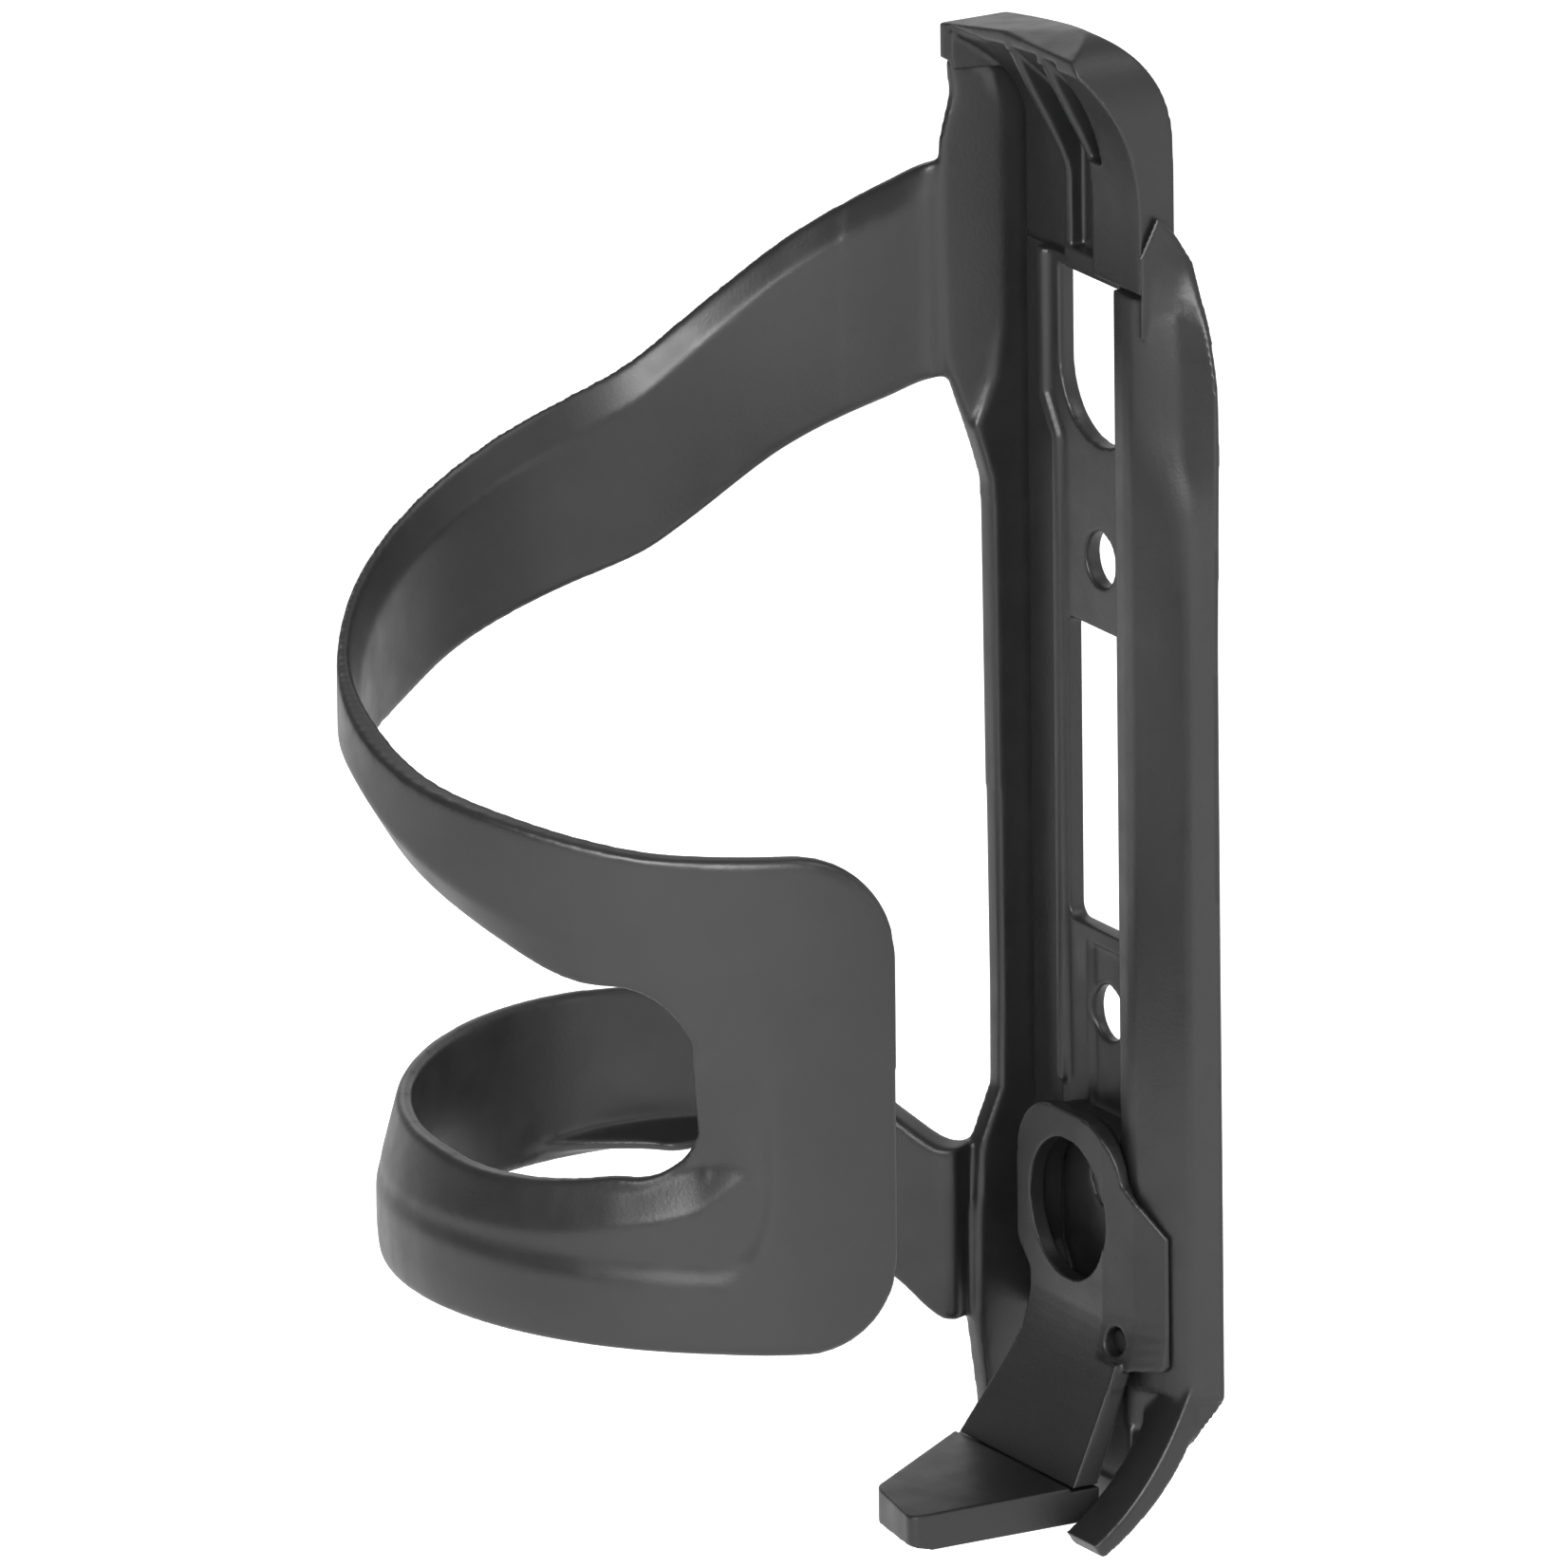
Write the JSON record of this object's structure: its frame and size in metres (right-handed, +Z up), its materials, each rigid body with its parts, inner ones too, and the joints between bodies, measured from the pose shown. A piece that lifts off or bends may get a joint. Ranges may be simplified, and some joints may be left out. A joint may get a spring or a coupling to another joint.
{
  "type": "water bottle cage",
  "caption": "Side-entry bicycle bottle cage: a bolt-on spine with top hook and foot tab, and a sprung arm shell that wraps the bottle and ends in a cup ring.",
  "frame": {"origin": "on the rear mounting plane of the spine, midway between the two 64 mm spaced frame bolts", "axes": "+Z up along the bottle's axis, +Y out of the rear face towards the bicycle frame, +X towards the open side that the bottle goes in by"},
  "size_m": [0.0812, 0.0875, 0.1608],
  "materials": {
    "arm_plastic": "satin moulded charcoal nylon, smooth, soft broad highlights",
    "spine_plastic": "satin moulded charcoal nylon with a very fine mould texture",
    "cover_plastic": "satin moulded charcoal nylon with a very fine mould texture",
    "pin_plastic": "matt black"
  },
  "bodies": {
    "spine": {"spine_channel": "spine_plastic", "hook_cap": "spine_plastic", "access_cover": "cover_plastic", "cover_pin": "pin_plastic"},
    "arm": {"arm_shell": "arm_plastic"},
    "foot": {"foot_tab": "cover_plastic"}
  },
  "joints": [
    {"name": "arm_flex", "type": "hinge", "parent": "spine", "child": "arm", "pos_m": [-0.0174, 0, 0], "axis": [0, 0, -1], "range_deg": [0, 5], "stiffness_Nm_per_rad": 20},
    {"name": "foot_flex", "type": "hinge", "parent": "spine", "child": "foot", "pos_m": [0, -0.0096, -0.0658], "axis": [1, 0, 0], "range_deg": [0, 6], "stiffness_Nm_per_rad": 2}
  ]
}
